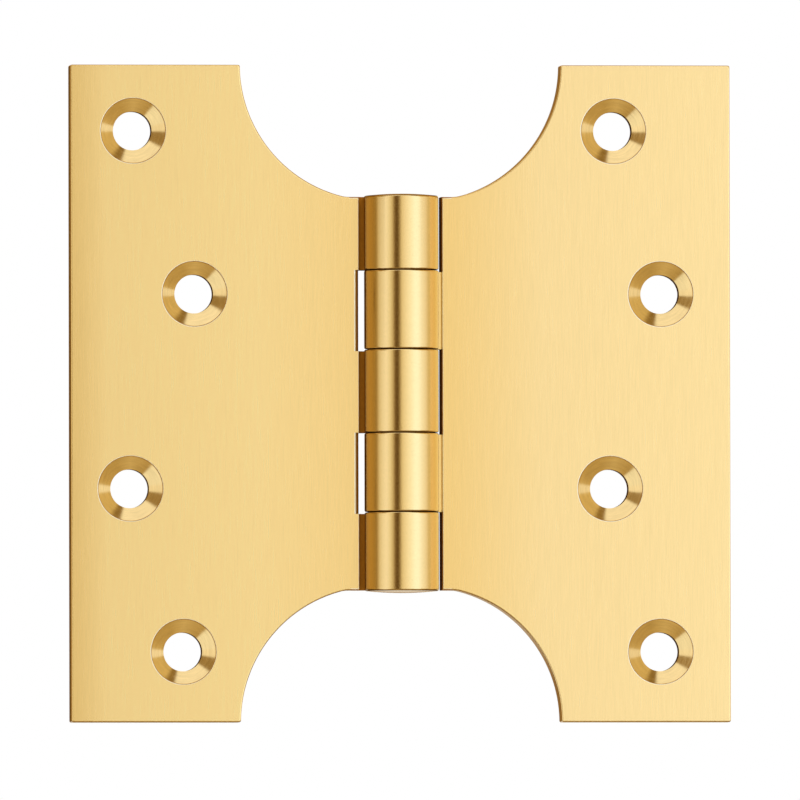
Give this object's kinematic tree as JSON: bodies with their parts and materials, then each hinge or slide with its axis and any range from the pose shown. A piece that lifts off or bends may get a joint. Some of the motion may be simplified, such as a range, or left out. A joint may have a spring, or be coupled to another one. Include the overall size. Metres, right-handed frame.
{
  "type": "parliament hinge",
  "caption": "Parliament hinge in satin brass: scooped leaves with staggered countersunk screw holes, turning on a fixed pin.",
  "frame": {"origin": "on the pin's axis, halfway up the hinge", "axes": "+Z along the pin, X across the opened leaves, the countersunk faces look towards -Y"},
  "size_m": [0.1024, 0.0114, 0.1016],
  "materials": {
    "satin_brass": "satin brushed, lacquered"
  },
  "bodies": {
    "left": {"left_leaf": "satin_brass", "hinge_pin": "satin_brass"},
    "right": {"right_leaf": "satin_brass"}
  },
  "joints": [
    {"name": "leaf_fold", "type": "hinge", "parent": "left", "child": "right", "pos_m": [0, 0, 0], "axis": [0, 0, -1], "range_deg": [-105, 180]}
  ]
}
